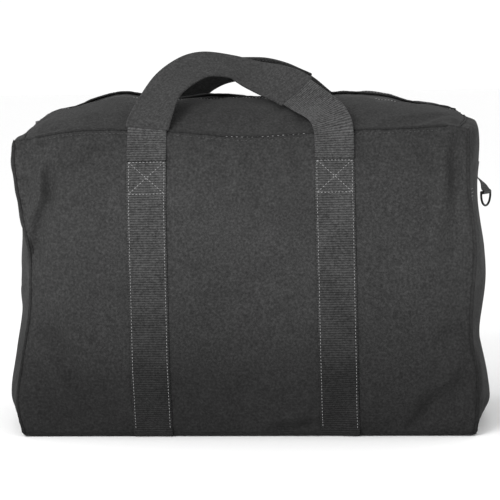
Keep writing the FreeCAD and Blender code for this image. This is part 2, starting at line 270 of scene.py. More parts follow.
def fill_with_kit(shell, frames=16):
    """Cloth simulation: the panels, cut a little full, swell between their sewn edges."""
    mesh = shell.data
    owners = panels_at(mesh)
    sewn = [n for n, here in enumerate(owners) if len(here) > 1 or here & {BOTTOM, ZIP_BAND}]
    held = shell.vertex_groups.new(name="sewn")
    held.add(sewn, 1.0, "REPLACE")
    start = [v.co.copy() for v in mesh.vertices]
    cloth = shell.modifiers.new("cloth", "CLOTH")
    fabric = cloth.settings
    fabric.vertex_group_mass = "sewn"
    fabric.quality = 5
    fabric.mass = 0.4
    fabric.tension_stiffness = 25
    fabric.compression_stiffness = 25
    fabric.shear_stiffness = 12
    fabric.bending_stiffness = 1.2
    fabric.air_damping = 4
    fabric.use_pressure = True
    fabric.uniform_pressure_force = 2.4
    fabric.shrink_min = -0.022
    fabric.effector_weights.gravity = 0.0
    cloth.collision_settings.use_collision = False
    cloth.point_cache.frame_start = 1
    cloth.point_cache.frame_end = frames
    for n in range(1, frames + 1):
        scene.frame_set(n)
    swollen = shell.evaluated_get(bpy.context.evaluated_depsgraph_get()).to_mesh()
    final = [v.co.copy() for v in swollen.vertices]
    shell.modifiers.clear()
    shell.vertex_groups.clear()
    for v, a, b in zip(mesh.vertices, start, final):
        move = b - a
        # the ends and the top are held in by their seams more than the long sides
        room = 0.005 if owners[v.index] & {LEFT, RIGHT, TOP_FRONT, TOP_BACK} else 0.014
        if move.length > room:
            move *= room / move.length
        v.co = a + move
    scene.frame_set(1)


def dent(co, middle, along, half_long, half_wide, depth, away):
    """Push co inwards near a fold line: a soft valley with a small ridge on each side."""
    offset = co - middle
    t = offset.dot(along) / half_long
    if abs(t) >= 1:
        return
    side = (offset - along * offset.dot(along)).dot(along.cross(away)) / half_wide
    if abs(side) > 3:
        return
    shape = math.exp(-side * side) - 0.35 * math.exp(-((abs(side) - 1.6) ** 2) * 1.6)
    co -= away * (depth * shape * (1 - t * t) ** 1.5)


def fold(x, z, slope, length, width, depth):
    """A fold across the front panel at (x, z), slope degrees from upright, leaning right at its top."""
    lean = math.radians(slope)
    along = Vector((math.sin(lean), 0, math.cos(lean)))
    return Vector((x, -HALF_DEPTH, z)), along, length / 2, width, depth


# creases that handling left: beside each end seam, towards the lower corners, and slack across the middle
FRONT_FOLDS = [
    fold(-0.246, 0.330, -6, 0.08, 0.007, 0.014),
    fold(-0.262, 0.322, 7, 0.09, 0.009, -0.009),
    fold(-0.262, 0.268, 14, 0.13, 0.010, 0.011),
    fold(-0.238, 0.125, -24, 0.16, 0.014, 0.008),
    fold(-0.205, 0.06, -32, 0.13, 0.012, 0.007),
    fold(0.272, 0.345, 3, 0.12, 0.008, 0.012),
    fold(0.258, 0.30, 9, 0.14, 0.010, -0.007),
    fold(0.235, 0.035, 38, 0.12, 0.011, 0.009),
    fold(0.262, 0.075, 24, 0.12, 0.010, -0.006),
    fold(0.07, 0.012, 82, 0.11, 0.008, 0.008),
    fold(-0.19, 0.36, 62, 0.13, 0.012, 0.005),
    fold(0.19, 0.355, -58, 0.14, 0.012, 0.006),
    fold(0.02, 0.20, 70, 0.16, 0.016, 0.003),
    fold(-0.05, 0.33, 80, 0.15, 0.014, 0.0035),
]


def soften(shell):
    """The creases, and the slight unevenness, that handling leaves in canvas."""
    mesh = shell.data
    owners = panels_at(mesh)
    away = Vector((0, -1, 0))
    for v in mesh.vertices:
        here = owners[v.index]
        if here == {BOTTOM} or ZIP_BAND in here:
            continue
        p = v.co * 9.0
        wave = noise(p) * 0.0022 + noise(p * 2.3 + Vector((5, 0, 0))) * 0.0009
        if len(here) == 1:
            v.co += v.normal * wave
        elif BOTTOM not in here:
            v.co += v.normal * wave * 0.5
        if FRONT in here and BOTTOM not in here:
            for line in FRONT_FOLDS:
                dent(v.co, *line, away)


def new_object(name, bm):
    mesh = bpy.data.meshes.new(name)
    bm.to_mesh(mesh)
    bm.free()
    made = bpy.data.objects.new(name, mesh)
    scene.collection.objects.link(made)
    for f in mesh.polygons:
        f.use_smooth = True
    return made


def thicken(piece, thick, offset=-1.0, levels=1):
    wall = piece.modifiers.new("wall", "SOLIDIFY")
    wall.thickness = thick
    wall.offset = offset
    if levels:
        smooth = piece.modifiers.new("smooth", "SUBSURF")
        smooth.levels = smooth.render_levels = levels


def panel_piece(shell, ident, name):
    """One panel of the finished shell as its own piece."""
    bm = bmesh.new()
    bm.from_mesh(shell.data)
    bmesh.ops.delete(bm, geom=[f for f in bm.faces if f.material_index != ident], context="FACES")
    for f in bm.faces:
        f.material_index = 0
    piece = new_object(name, bm)
    thicken(piece, CANVAS)
    return piece


shell = cut_shell()
fill_with_kit(shell)
soften(shell)
shell_mesh = bmesh.new()
shell_mesh.from_mesh(shell.data)
surface = BVHTree.FromBMesh(shell_mesh)  # what straps and stitches are laid on


def sewn_line(first, second):
    """The ordered points of the edges where two panels meet."""
    links = {}
    for e in shell_mesh.edges:
        if {f.material_index for f in e.link_faces} == {first, second}:
            a, b = e.verts
            links.setdefault(a, []).append(b)
            links.setdefault(b, []).append(a)
    here = next(v for v, near in links.items() if len(near) == 1)
    line, seen = [here.co.copy()], {here}
    while True:
        onward = [v for v in links[here] if v not in seen]
        if not onward:
            return line
        here = onward[0]
        seen.add(here)
        line.append(here.co.copy())


# ---- materials ----
PERIOD = math.pi / 10  # a wave texture's scale times its period


def colour(code):
    """An sRGB hex colour in linear light."""
    parts = [int(code[n : n + 2], 16) / 255 for n in (0, 2, 4)]
    return [c / 12.92 if c <= 0.04045 else ((c + 0.055) / 1.055) ** 2.4 for c in parts] + [1.0]


def node(tree, kind, settings=None, **links):
    """Adds one node. links are its inputs, by name or as i and a number: sockets are linked, values set."""
    made = tree.nodes.new(kind)
    for key, value in (settings or {}).items():
        setattr(made, key, value)
    for key, value in links.items():
        socket = made.inputs[int(key[1:]) if key[0] == "i" and key[1:].isdigit() else key.replace("_", " ")]
        if isinstance(value, bpy.types.NodeSocket):
            tree.links.new(value, socket)
        else:
            socket.default_value = value
    return made


def new_material(name):
    made = bpy.data.materials.new(name)
    made.use_nodes = True
    tree = made.node_tree
    tree.nodes.clear()
    shader = node(tree, "ShaderNodeBsdfPrincipled")
    output = node(tree, "ShaderNodeOutputMaterial")
    tree.links.new(shader.outputs["BSDF"], output.inputs["Surface"])
    return made, tree, shader


def finish(shader, **values):
    """Sets what is the same all over, on the shader's own sockets."""
    for name, value in values.items():
        shader.inputs[name.replace("_", " ")].default_value = value


def ramp(tree, fac, stops):
    made = node(tree, "ShaderNodeValToRGB", i0=fac)
    elements = made.color_ramp.elements
    while len(elements) < len(stops):
        elements.new(0.5)
    for element, (place, shade) in zip(elements, stops):
        element.position = place
        element.color = colour(shade)
    return made.outputs["Color"]


def painted_shade_by_height(tree, place, shade, stops):
    """Painted shade that changes with height: stops are how much of the colour is left at heights from 0 to
    0.42 m.
    """
    height = node(tree, "ShaderNodeSeparateXYZ", Vector=place).outputs["Z"]
    share = node(tree, "ShaderNodeMath", {"operation": "DIVIDE"}, i0=height, i1=0.42).outputs[0]
    wear_and_painted_shade = ramp(tree, share, stops)
    settings = {"data_type": "RGBA", "blend_type": "MULTIPLY"}
    return node(tree, "ShaderNodeMix", settings, i0=1.0, i6=shade, i7=wear_and_painted_shade).outputs[2]


def cotton_canvas(name, low, mid, high, stops):
    """Heavy plain-woven cotton duck, piece dyed: matte, with slubs and lint, and painted shade that darkens
    it towards the base.
    """
    made, tree, shader = new_material(name)
    place = node(tree, "ShaderNodeTexCoord").outputs["Object"]
    # threads are 0.9 mm apart: drawn at 1.9 mm, so that the weave shows
    waves = []
    for direction in ("X", "Z", "Y"):
        wave = node(
            tree, "ShaderNodeTexWave", {"bands_direction": direction}, Vector=place,
            Scale=PERIOD / 0.0019, Distortion=1.4, Detail=1.0, Detail_Scale=2.0,
        )
        waves.append(wave.outputs["Fac"])
    weave = node(tree, "ShaderNodeMath", {"operation": "MULTIPLY"}, i0=waves[0], i1=waves[1]).outputs[0]
    weave = node(tree, "ShaderNodeMath", {"operation": "ADD"}, i0=weave, i1=waves[2]).outputs[0]
    # slubs and lint a few millimetres across, and a slow drift of the dye over a hand's breadth
    slub = node(tree, "ShaderNodeTexNoise", Vector=place, Scale=330, Detail=3, Roughness=0.7).outputs["Fac"]
    mottle = node(tree, "ShaderNodeTexNoise", Vector=place, Scale=70, Detail=4, Roughness=0.65).outputs["Fac"]
    drift = node(tree, "ShaderNodeTexNoise", Vector=place, Scale=6, Detail=2).outputs["Fac"]
    mix = node(tree, "ShaderNodeMath", {"operation": "MULTIPLY_ADD"}, i0=slub, i1=0.78, i2=0.0).outputs[0]
    mix = node(tree, "ShaderNodeMath", {"operation": "MULTIPLY_ADD"}, i0=mottle, i1=0.14, i2=mix).outputs[0]
    mix = node(tree, "ShaderNodeMath", {"operation": "MULTIPLY_ADD"}, i0=drift, i1=0.16, i2=mix).outputs[0]
    shade = ramp(tree, mix, [(0.36, low), (0.53, mid), (0.72, high)])
    # painted shade by height over the dyed colour
    tree.links.new(painted_shade_by_height(tree, place, shade, stops), shader.inputs["Base Color"])
    rough = node(tree, "ShaderNodeBump", Strength=0.35, Distance=0.0006, Height=slub).outputs["Normal"]
    bump = node(tree, "ShaderNodeBump", Strength=0.30, Distance=0.0005, Height=weave, Normal=rough)
    tree.links.new(bump.outputs["Normal"], shader.inputs["Normal"])
    finish(
        shader, Roughness=0.93, Specular_IOR_Level=0.12, Sheen_Weight=0.03, Sheen_Roughness=0.55,
        Sheen_Tint=colour("b8b8b8"),
    )
    return made


def cotton_webbing(name, low, mid, high, stops):
    """Ribbed cotton webbing: picks across it every few millimetres, a little lighter than the canvas."""
    made, tree, shader = new_material(name)
    strap = node(tree, "ShaderNodeUVMap", {"uv_map": "strap"}).outputs["UV"]
    # picks are 1.5 mm apart: drawn at 3.1 mm, so that the ribs show
    rib = node(
        tree, "ShaderNodeTexWave", {"bands_direction": "Y"}, Vector=strap,
        Scale=PERIOD / 0.0031, Distortion=2.2, Detail=1.5, Detail_Scale=3.0,
    ).outputs["Fac"]
    warp = node(
        tree, "ShaderNodeTexWave", {"bands_direction": "X"}, Vector=strap,
        Scale=PERIOD / 0.0021, Distortion=0.5,
    ).outputs["Fac"]
    place = node(tree, "ShaderNodeTexCoord").outputs["Object"]
    lint = node(tree, "ShaderNodeTexNoise", Vector=place, Scale=300, Detail=3, Roughness=0.7).outputs["Fac"]
    drift = node(tree, "ShaderNodeTexNoise", Vector=place, Scale=22, Detail=2).outputs["Fac"]
    mix = node(tree, "ShaderNodeMath", {"operation": "MULTIPLY"}, i0=rib, i1=0.20).outputs[0]
    mix = node(tree, "ShaderNodeMath", {"operation": "MULTIPLY_ADD"}, i0=lint, i1=0.62, i2=mix).outputs[0]
    mix = node(tree, "ShaderNodeMath", {"operation": "MULTIPLY_ADD"}, i0=drift, i1=0.2, i2=mix).outputs[0]
    shade = ramp(tree, mix, [(0.32, low), (0.50, mid), (0.70, high)])
    # painted shade by height over the dyed colour
    tree.links.new(painted_shade_by_height(tree, place, shade, stops), shader.inputs["Base Color"])
    along = node(tree, "ShaderNodeBump", Strength=0.42, Distance=0.0010, Height=rib).outputs["Normal"]
    cross = node(tree, "ShaderNodeBump", Strength=0.25, Distance=0.0004, Height=warp, Normal=along)
    tree.links.new(cross.outputs["Normal"], shader.inputs["Normal"])
    finish(
        shader, Roughness=0.88, Specular_IOR_Level=0.15, Sheen_Weight=0.04, Sheen_Roughness=0.5,
        Sheen_Tint=colour("c0c0c0"),
    )
    return made


def polyester_tape(name):
    """Woven zip tape: fine herringbone, denser and darker than the canvas."""
    made, tree, shader = new_material(name)
    place = node(tree, "ShaderNodeTexCoord").outputs["Object"]
    turned = node(tree, "ShaderNodeMapping", Vector=place, Rotation=(0, 0, math.radians(38))).outputs[0]
    # ribs of 1.2 mm, on the slant
    twill = node(
        tree, "ShaderNodeTexWave", {"bands_direction": "X"}, Vector=turned,
        Scale=PERIOD / 0.0012, Distortion=0.4,
    ).outputs["Fac"]
    tree.links.new(ramp(tree, twill, [(0.0, "3a3a3a"), (1.0, "565656")]), shader.inputs["Base Color"])
    bump = node(tree, "ShaderNodeBump", Strength=0.35, Distance=0.0003, Height=twill)
    tree.links.new(bump.outputs["Normal"], shader.inputs["Normal"])
    finish(shader, Roughness=0.8, Specular_IOR_Level=0.35)
    return made


def black_enamel(name, rough, wear_and_painted_shade):
    """Stoved black enamel on steel wire or die-cast zinc: glossy, rubbed a little brighter where it wears."""
    made, tree, shader = new_material(name)
    place = node(tree, "ShaderNodeTexCoord").outputs["Object"]
    rub = node(tree, "ShaderNodeTexNoise", Vector=place, Scale=420, Detail=4, Roughness=0.6).outputs["Fac"]
    shade = ramp(tree, rub, [(0.45, "080808"), (0.70, "0e0e0e"), (0.80, wear_and_painted_shade)])
    tree.links.new(shade, shader.inputs["Base Color"])
    gloss = node(tree, "ShaderNodeMapRange", Value=rub, i3=rough, i4=rough + 0.18).outputs["Result"]
    tree.links.new(gloss, shader.inputs["Roughness"])
    bump = node(tree, "ShaderNodeBump", Strength=0.08, Distance=0.0002, Height=rub)
    tree.links.new(bump.outputs["Normal"], shader.inputs["Normal"])
    finish(shader, Specular_IOR_Level=0.14, Coat_Weight=0.04, Coat_Roughness=0.12)
    return made


def twisted_thread(name, low, high):
    """Corded cotton thread, lighter than what it sews: two plies, laid at an angle."""
    made, tree, shader = new_material(name)
    place = node(tree, "ShaderNodeTexCoord").outputs["Object"]
    ply = node(tree, "ShaderNodeTexNoise", Vector=place, Scale=900.0, Detail=2.0).outputs["Fac"]
    tree.links.new(ramp(tree, ply, [(0.35, low), (0.65, high)]), shader.inputs["Base Color"])
    bump = node(tree, "ShaderNodeBump", Strength=0.3, Distance=0.0003, Height=ply)
    tree.links.new(bump.outputs["Normal"], shader.inputs["Normal"])
    finish(shader, Roughness=0.75)
    return made


# painted shade: the share of the colour left at each height, darker towards the base; EVEN leaves the colour
# as it is
CANVAS_PAINTED_SHADE = [
    (0.0, "9c9c9c"), (0.20, "a2a2a2"), (0.34, "bababa"), (0.50, "d2d2d2"), (0.64, "d8d8d8"), (0.80, "d2d2d2"),
    (0.93, "c6c6c6"), (1.0, "bcbcbc"),
]
WEBBING_PAINTED_SHADE = [
    (0.0, "838383"), (0.20, "888888"), (0.28, "9c9c9c"), (0.38, "b4b4b4"), (0.50, "cccccc"), (0.64, "dcdcdc"),
    (0.84, "e2e2e2"), (0.97, "e6e6e6"),
]
EVEN = [(0.0, "d8d8d8"), (1.0, "d8d8d8")]
canvas = cotton_canvas("cotton duck canvas, charcoal", "2a2a2a", "3a3a3a", "4d4d4d", CANVAS_PAINTED_SHADE)
grip_canvas = cotton_canvas("cotton duck canvas, rubbed grip", "2c2c2c", "3b3b3b", "4e4e4e", EVEN)
facing = cotton_canvas("cotton duck canvas, seam facing", "262626", "333333", "424242", CANVAS_PAINTED_SHADE)
binding = cotton_canvas("cotton bias binding", "222222", "2e2e2e", "3a3a3a", EVEN)
webbing = cotton_webbing("ribbed cotton webbing, charcoal", "242424", "3e3e3e", "5a5a5a", WEBBING_PAINTED_SHADE)
zip_tape = polyester_tape("woven polyester zip tape")
zip_metal = black_enamel("black enamelled zinc", 0.34, "3a3a3a")
ring_metal = black_enamel("black enamelled steel wire", 0.16, "2a2a2b")
thread = twisted_thread("corded thread, grey", "7a7a7a", "9a9a9a")
dark_thread = twisted_thread("corded thread, charcoal", "2c2c2c", "404040")


def dress(piece, material, body=None, slot=None, *nodes):
    piece.data.materials.clear()
    piece.data.materials.append(material)
    if nodes:
        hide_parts(*nodes)
    if body:
        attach(piece, body)
    return piece


# ---- panels ----
PANELS = [
    (FRONT, "front_canvas", "front_panel"),
    (BACK, "back_canvas", "back_panel"),
    (LEFT, "left_end_canvas", "left_end_panel"),
    (RIGHT, "right_end_canvas", "right_end_panel"),
    (BOTTOM, "bottom_canvas", "bottom_panel"),
]
for ident, name, cad_node in PANELS:
    dress(panel_piece(shell, ident, name), canvas, "shell", "canvas", cad_node)

def fold_blend(piece, side):
    """Bakes the piece's placement into its mesh; the fold's outer and inner points are worked out but not
    used.
    """
    y = HALF_DEPTH - 0.0019
    outer, inner = (0, side * (y + 0.006), TOP), (0, side * (y - 0.016), TOP + 0.004)
    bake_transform(piece)
    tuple(outer)
    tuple(inner)


SIDES = (("front", -1), ("back", 1))
for (word, side), ident in zip(SIDES, (TOP_FRONT, TOP_BACK)):
    strip = panel_piece(shell, ident, word + "_top_canvas")
    dress(strip, canvas, None, "canvas", word + "_top_strip")
    fold_blend(strip, side)


# ---- rolled seams along the panels' edges ----
def smoothed(line, rounds=2):
    for _ in range(rounds):
        inner = [(a + b * 2 + c) / 4 for a, b, c in zip(line, line[1:], line[2:])]
        line = [line[0]] + inner + [line[-1]]
    return line


def welt(name, line, radius, flat=1.0):
    """A roll of folded canvas or thread along a line: a tube, puckered by its stitches."""
    bm = bmesh.new()
    around = 10
    count = len(line)
    made = bmesh.ops.create_grid(bm, x_segments=around, y_segments=count - 1, size=0.5)["verts"]
    for v in made:
        turn = (v.co.x + 0.5) * 2 * math.pi
        n = round((v.co.y + 0.5) * (count - 1))
        ahead = (line[min(n + 1, count - 1)] - line[max(n - 1, 0)]).normalized()
        upright = Vector((0.31, 0.17, 0.93)) if abs(ahead.z) < 0.8 else Vector((0.9, 0.4, 0.1))
        side = ahead.cross(upright).normalized()
        over = side.cross(ahead)
        close = 0.25 if n in (0, count - 1) else 1.0
        pucker = 1 + 0.16 * noise(line[n] * 160) + 0.10 * math.sin(n * 2.1)
        r = radius * pucker * close
        v.co = line[n] + side * math.cos(turn) * r + over * math.sin(turn) * r * flat
    bmesh.ops.remove_doubles(bm, verts=bm.verts, dist=radius * 0.02)
    caps = [e for e in bm.edges if e.is_boundary]
    bmesh.ops.holes_fill(bm, edges=caps, sides=0)
    bmesh.ops.recalc_face_normals(bm, faces=bm.faces)
    return new_object(name, bm)


def resampled(line, step):
    """Points evenly spaced along a line."""
    out, left = [line[0].copy()], step
    for a, b in zip(line, line[1:]):
        gap = (b - a).length
        at = left
        while at <= gap:
            out.append(a.lerp(b, at / gap))
            at += step
        left = at - gap
    if (out[-1] - line[-1]).length > step * 0.4:
        out.append(line[-1].copy())
    return out


# (name, the two panels that meet, radius of the roll)
SEAMS = [
    ("front_top_seam", FRONT, TOP_FRONT, 0.0017), ("back_top_seam", BACK, TOP_BACK, 0.0017),
    ("front_left_seam", FRONT, LEFT, 0.0022), ("front_right_seam", FRONT, RIGHT, 0.0026),
    ("back_left_seam", BACK, LEFT, 0.0022), ("back_right_seam", BACK, RIGHT, 0.0022),
    ("front_bottom_seam", FRONT, BOTTOM, 0.0016), ("back_bottom_seam", BACK, BOTTOM, 0.0016),
    ("left_bottom_seam", LEFT, BOTTOM, 0.0016), ("right_bottom_seam", RIGHT, BOTTOM, 0.0016),
    ("left_front_roof_seam", LEFT, TOP_FRONT, 0.0012), ("left_back_roof_seam", LEFT, TOP_BACK, 0.0012),
    ("right_front_roof_seam", RIGHT, TOP_FRONT, 0.0014), ("right_back_roof_seam", RIGHT, TOP_BACK, 0.0014),
]
seam_lines = {}
for name, first, second, radius in SEAMS:
    line = sewn_line(first, second)
    seam_lines[name] = line
    line = resampled(smoothed(line), 0.0045)
    if "bottom" in name:
        line = [p + Vector((0, 0, 0.0006)) for p in line]
    dress(welt(name, line, radius), facing, "shell", "canvas")


# ---- flat straps ----
def ribbon(name, rows, thick, levels=1):
    """A woven strap through rows of points, with its width and length in metres as its UV map."""
    across, count = len(rows[0]) - 1, len(rows)
    bm = bmesh.new()
    made = bmesh.ops.create_grid(bm, x_segments=across, y_segments=count - 1, size=0.5)["verts"]
    cell = {}
    for v in made:
        cell[v] = round((v.co.x + 0.5) * across), round((v.co.y + 0.5) * (count - 1))
        v.co = rows[cell[v][1]][cell[v][0]]
    run = [0.0]
    for n in range(1, count):
        run.append(run[-1] + (rows[n][across // 2] - rows[n - 1][across // 2]).length)
    wide = sum((b - a).length for a, b in zip(rows[count // 2], rows[count // 2][1:]))
    uv = bm.loops.layers.uv.new("strap")
    for f in bm.faces:
        for loop in f.loops:
            column, row = cell[loop.vert]
            loop[uv].uv = ((column / across) * wide, run[row])
    piece = new_object(name, bm)
    thicken(piece, thick, 0.0, levels)
    return piece


def on_ribbon(rows, row, column, lift):
    """The point at a fractional row and column of a strap's outer face, and the way along it."""
    n, m = min(int(row), len(rows) - 2), min(int(column), len(rows[0]) - 2)
    s, t = row - n, column - m
    along = rows[n + 1][m] - rows[n][m]
    across = rows[n][m + 1] - rows[n][m]
    near = rows[n][m].lerp(rows[n][m + 1], t)
    far = rows[n + 1][m].lerp(rows[n + 1][m + 1], t)
    return near.lerp(far, s) + along.cross(across).normalized() * lift


def cast(origin, way):
    """Where a line from origin meets the canvas, or None."""
    return surface.ray_cast(origin, way)[0]


def eased(grid, rounds):
    """Evens out a grid of heights, as stiff webbing does over uneven canvas."""
    for _ in range(rounds):
        grid = [
            [
                (
                    row[max(m - 1, 0)] + row[min(m + 1, len(row) - 1)] + 2 * row[m]
                    + grid[max(n - 1, 0)][m] + grid[min(n + 1, len(grid) - 1)][m]
                ) / 6
                for m in range(len(row))
            ]
            for n, row in enumerate(grid)
        ]
    return grid


COLS = 10  # divisions across a strap
STEP = 0.004  # between the rows of a run
FACE_ROWS = int((RUN_TOP - 0.010) / STEP) + 1  # rows of a run from its top down to the bottom seam
UNDER_Z = 0.0012  # middle of the webbing under the bag
CORNER = 0.0075  # how far the webbing turns in under the bottom seam


def side_rows(x, side, drift):
    """Rows of a run on the front (-1) or back (1) of the bag. It drifts right towards its foot."""
    inwards = Vector((0, -side, 0))
    places = []
    for n in range(FACE_ROWS):
        z = RUN_TOP - n * STEP
        middle = x + drift * (1 - z / RUN_TOP)
        places.append([(middle + WEBBING * (m / COLS - 0.5), z) for m in range(COLS + 1)])
    bare = [[abs(cast(Vector((at, side * 0.4, z)), inwards).y) for at, z in row] for row in places]
    rows = []
    for row, outs, evened in zip(places, bare, eased(bare, 6)):
        # half the strap's thickness off the canvas, and never sunk into it
        outs = [max(even, out + 0.0001) + 0.0014 for even, out in zip(evened, outs)]
        rows.append([Vector((at, side * out, z)) for (at, z), out in zip(row, outs)])
    return rows


def corner_rows(end, side):
    """Rows of the quarter turn from the end of a side to under the bag."""
    corner = []
    for n in range(1, 5):
        a = n / 5 * math.pi / 2
        into, sunk = -side * CORNER * (1 - math.cos(a)), 1 - math.sin(a)
        corner.append([Vector((p.x, p.y + into, UNDER_Z + (p.z - UNDER_Z) * sunk)) for p in end])
    return corner


def run_of_webbing(x, drift):
    """Rows of one whole run: down the front, under the bag and up the back."""
    front = side_rows(x, -1, drift)
    back = side_rows(x, 1, drift)
    flat = []
    for n in range(37):
        t = n / 36
        ends = zip(front[-1], back[-1])
        flat.append([Vector((a.x, (a.y + CORNER) * (1 - t) + (b.y - CORNER) * t, UNDER_Z)) for a, b in ends])
    front_corner, back_corner = corner_rows(front[-1], -1), corner_rows(back[-1], 1)
    return front + front_corner + flat + back_corner[::-1] + back[::-1]


run_rows = {}
for word, x, drift in (("left", -RUN_MIDDLE, 0.001), ("right", RUN_MIDDLE, 0.004)):
    run_rows[word] = run_of_webbing(x, drift)
    run = ribbon(word + "_webbing", run_rows[word], STRAP)
    dress(run, webbing, "shell", "webbing", word + "_webbing_run")


# ---- handles ----
# how much the back handle's deck is raised, by the share of its length
BACK_RAISE = {0.229: -0.004, 0.306: -0.006, 0.436: 0.001, 0.537: 0.005, 0.648: 0.002}


def handle_points(slump):
    """(middle, way to the outer edge) along the middle of a front handle, as it slumps inwards.

    slump leans the arch further to the right, where it then sinks.
    """
    edge = -HALF_DEPTH - 0.002
    reach = -edge - 0.048
    pivot_y = -0.15599
    level_y = (pivot_y + edge) / 2 - 0.0006

    def at(along, inwards, lift, outer):
        lean = slump * inwards * (1 - along * along)
        deck = TOP + (ZIP_CROWN - TOP) * inwards - slump * 0.45 * inwards * along * along
        if slump:
            deck += BACK_RAISE.get(along, 0.0)
        x = 2 * RUN_MIDDLE * (along - 0.5) + lean
        return Vector((x, edge + reach * inwards, deck + lift / 1000)), Vector(outer)

    return [
        (Vector((-RUN_MIDDLE, pivot_y, RUN_TOP)), Vector((-1, 0, 0))),
        (Vector((-RUN_MIDDLE, level_y, TOP - 0.016)), Vector((-1, 0, 0))),
        at(0.004, -0.012, 7, (-1, 0, 0.01)),
        at(0.022, 0.095, 19, (-0.99, 0.15, 0.07)),
        at(0.06, 0.308, 34, (-0.85, 0.49, 0.17)),
        at(0.133, 0.6, 44.5, (-0.69, 0.6, 0.41)),
        at(0.229, 0.83, 50, (-0.42, 0.72, 0.55)),
        at(0.306, 0.925, 49.5, (-0.22, 0.79, 0.57)),
        at(0.436, 1.0, 42, (0.12, 0.86, 0.5)),
        at(0.537, 0.98, 33.5, (0.3, 0.76, 0.58)),
        at(0.648, 0.865, 29.5, (0.46, 0.55, 0.7)),
        at(0.745, 0.68, 28, (0.65, 0.32, 0.69)),
        at(0.855, 0.41, 22.5, (0.8, 0.27, 0.53)),
        at(0.955, 0.12, 18, (0.95, 0.15, 0.27)),
        at(0.992, -0.02, 7, (1, 0, 0.02)),
        (Vector((RUN_MIDDLE, level_y, TOP - 0.016)), Vector((1, 0, 0))),
        (Vector((RUN_MIDDLE, pivot_y, RUN_TOP)), Vector((1, 0, 0))),
    ]


def handle_frames(slump, count):
    """Evenly spaced (share of the length, middle, across, outward) along a front handle."""
    points = handle_points(slump)
    places = [0.0]
    for (a, _), (b, _) in zip(points, points[1:]):
        places.append(places[-1] + (b - a).length)
    lines = [[(d, p[n]) for d, (p, _) in zip(places, points)] for n in range(3)]
    outers = [[(d, o[n]) for d, (_, o) in zip(places, points)] for n in range(3)]
    frames = []
    for n in range(count):
        d = places[-1] * n / (count - 1)
        middle = Vector([path_value(line, d) for line in lines])
        ahead = Vector([path_value(line, d + 0.0015) for line in lines])
        behind = Vector([path_value(line, d - 0.0015) for line in lines])
        tangent = (ahead - behind).normalized()
        outer = Vector([path_value(line, d) for line in outers])
        outward = tangent.cross(outer).normalized()
        frames.append((n / (count - 1), middle, tangent.cross(outward), outward))
    return frames


FOOT_ROWS = 12


def handle_rows(frames, width, side, feet):
    """Rows of a handle's strap. Its first and last few centimetres lie on from the sewn runs."""
    rows = []
    for share, middle, across, outward in frames:
        row = []
        for m in range(COLS + 1):
            u = m / COLS - 0.5
            p = middle + across * (u * width)
            # the webbing cups a little where it bends
            p = p - outward * (0.0016 * (1 - 4 * u * u) * math.sin(math.pi * share))
            row.append(p)
        rows.append(row)
    if side > 0:
        rows = [[Vector((p.x, -p.y, p.z)) for p in row] for row in rows]
    for word, ends in feet.items():
        # counted from this foot upwards; the handle comes down to the right one the other way round
        near = rows if word == "left" else rows[::-1]
        foot = ends if word == "left" else ends[::-1]
        shift = [a - b for a, b in zip(foot, near[0])]
        for n in range(1, FOOT_ROWS):
            ease = 1 - n / FOOT_ROWS
            ease = ease * ease * (3 - 2 * ease)
            near[n][:] = [p + s * ease for p, s in zip(near[n], shift)]
        near[0][:] = [p.copy() for p in foot]
    return rows


def along_handle(piece):
    """Bakes the piece's placement into its mesh."""
    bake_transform(piece)


GRIP_FROM = 0.085  # share of the handle's length where the sleeve round the grip begins
GRIP_WIDTH = 0.057
grip_rows = {}
for word, side, slump, grip_to in (("front", -1, 0.0, 0.72), ("back", 1, 0.045, 0.67)):
    frames = handle_frames(slump, 150)
    ends = {foot: rows[0] if side < 0 else rows[-1] for foot, rows in run_rows.items()}
    strap = ribbon(word + "_handle_strap", handle_rows(frames, WEBBING, side, ends), STRAP)
    dress(strap, webbing, None, "webbing", word + "_handle_webbing")
    along_handle(strap)
    covered = [f for f in frames if GRIP_FROM <= f[0] <= grip_to]
    grip_rows[word] = handle_rows(covered, GRIP_WIDTH, side, {})
    grip = ribbon(word + "_grip_sleeve", grip_rows[word], GRIP)
    dress(grip, grip_canvas, None, "canvas", word + "_handle_sleeve")
    along_handle(grip)


# ---- stitches ----
def stitch_shape():
    bm = bmesh.new()
    bmesh.ops.create_uvsphere(bm, u_segments=6, v_segments=4, radius=1.0)
    mesh = bpy.data.meshes.new("stitch")
    bm.to_mesh(mesh)
    bm.free()
    return mesh


STITCH = stitch_shape()


def stitching(name, lines, length=0.0030, gap=0.0014, radius=0.00042):
    """Rows of lockstitches, one after another along each line, each pulled slightly askew."""
    bm = bmesh.new()
    for line in lines:
        points = resampled(line, length + gap)
        for a, b in zip(points, points[1:]):
            way = (b - a).normalized()
            skew = Vector((noise(a * 900), noise(a * 700 + Vector((3, 1, 2))), noise(a * 800))) * 0.10
            turn = (way + skew).to_track_quat("X", "Z").to_matrix().to_4x4()
            before = len(bm.verts)
            bm.from_mesh(STITCH)
            bm.verts.ensure_lookup_table()
            fresh = bm.verts[before:]
            reach = length / 2 * (1 + 0.12 * noise(a * 500))
            bmesh.ops.scale(bm, vec=Vector((reach, radius, radius)), verts=fresh)
            bmesh.ops.transform(bm, matrix=turn, verts=fresh)
            bmesh.ops.translate(bm, vec=a + way * (length / 2), verts=fresh)
    return new_object(name, bm)


def strap_line(rows, first, last, column, lift):
    """A line down a strap, from one row to another."""
    count = max(2, int(abs(last - first)) + 1)
    return [on_ribbon(rows, first + (last - first) * n / (count - 1), column, lift) for n in range(count)]


def slant(rows, r0, c0, r1, c1, lift):
    """A straight line on a strap, from one (row, column) to another."""
    return [on_ribbon(rows, r0 + (r1 - r0) * n / 12, c0 + (c1 - c0) * n / 12, lift) for n in range(13)]


